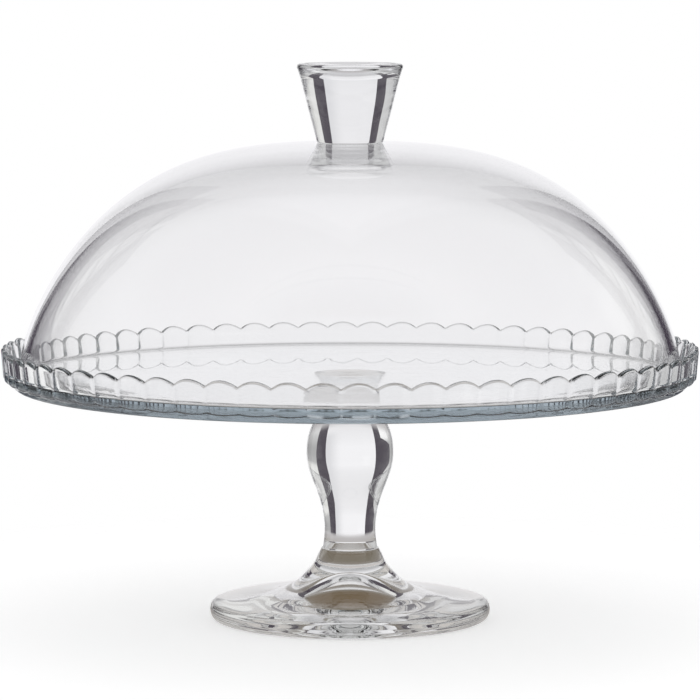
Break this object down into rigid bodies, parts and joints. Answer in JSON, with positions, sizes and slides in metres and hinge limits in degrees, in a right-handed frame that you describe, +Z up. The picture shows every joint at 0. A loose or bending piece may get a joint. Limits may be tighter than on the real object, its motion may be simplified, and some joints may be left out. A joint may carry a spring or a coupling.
{
  "type": "footed cake stand with lift-off glass dome",
  "caption": "Clear pressed-glass cake plate with a scalloped upright rim on a baluster stem and round foot, covered by a lift-off glass dome with a solid tapered knob.",
  "frame": {"origin": "on the stand's axis, at the bottom of the foot's resting ring", "axes": "+Z up along the axis of foot, stem, plate, dome and knob; X and Y are equal, because the object is round"},
  "size_m": [0.3238, 0.3238, 0.2586],
  "materials": {
    "stand_glass": "clear pressed soda-lime glass, fire-polished, faint grey tint in thick sections",
    "dome_glass": "clear pressed soda-lime glass, fire-polished"
  },
  "bodies": {
    "stand": {"foot": "stand_glass", "stem": "stand_glass", "plate": "stand_glass"},
    "dome": {"dome_shell": "dome_glass", "dome_knob": "dome_glass"}
  },
  "joints": [
    {"name": "dome_lift", "type": "slide", "parent": "stand", "child": "dome", "axis": [0, 0, 1], "range_m": [0, 0.1]}
  ]
}
